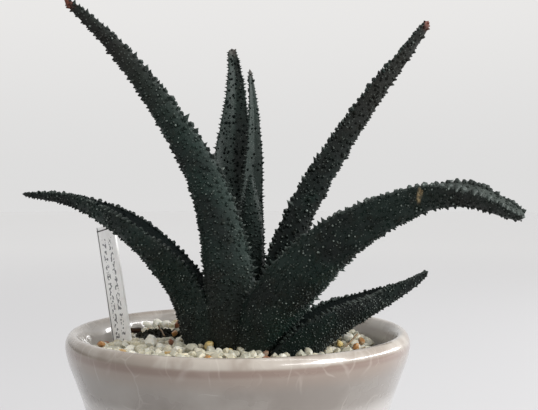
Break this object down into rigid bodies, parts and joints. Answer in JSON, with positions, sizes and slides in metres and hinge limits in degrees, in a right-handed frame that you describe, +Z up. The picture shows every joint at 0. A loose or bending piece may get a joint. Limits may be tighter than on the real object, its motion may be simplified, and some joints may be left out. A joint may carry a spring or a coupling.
{
  "type": "potted haworthia hybrid",
  "caption": "Rosette of long, channelled, dark green leaves covered in small pale warts, growing in a round glazed pot topped with quartz grit, with a plain plant label.",
  "frame": {"origin": "middle of the pot's flat base", "axes": "+Z up out of the pot; -Y toward the front, the side that the picture shows; +X to the right of that view"},
  "size_m": [0.1418, 0.1087, 0.1825],
  "materials": {
    "pot_glaze": "glossy crackle glaze, cream at the lip, taupe grey below",
    "soil": "matt potting mix",
    "grit": "pale translucent quartz grains, 2 to 3 mm",
    "root": "fleshy, matt",
    "leaf": "dark green skin with small pale warts",
    "old_leaf": "withering, brownish green",
    "label": "thin, slightly translucent",
    "bark": "rough dark bark",
    "straw": "dry plant fibre"
  },
  "bodies": {
    "root": {"pot": "pot_glaze", "soil": "soil", "grit": "grit", "root_stock": "root", "leaf_right_low": "leaf", "leaf_left_low": "leaf", "leaf_old_left": "old_leaf", "leaf_back_low": "leaf", "leaf_back_right": "leaf", "leaf_right_arching": "leaf", "leaf_left_tall": "leaf", "leaf_right_tall": "leaf", "leaf_back_tall": "leaf", "leaf_inner": "leaf", "leaf_heart": "leaf", "plant_label": "label", "bark_chip": "bark", "straw_left": "straw", "straw_right": "straw"}
  },
  "joints": []
}
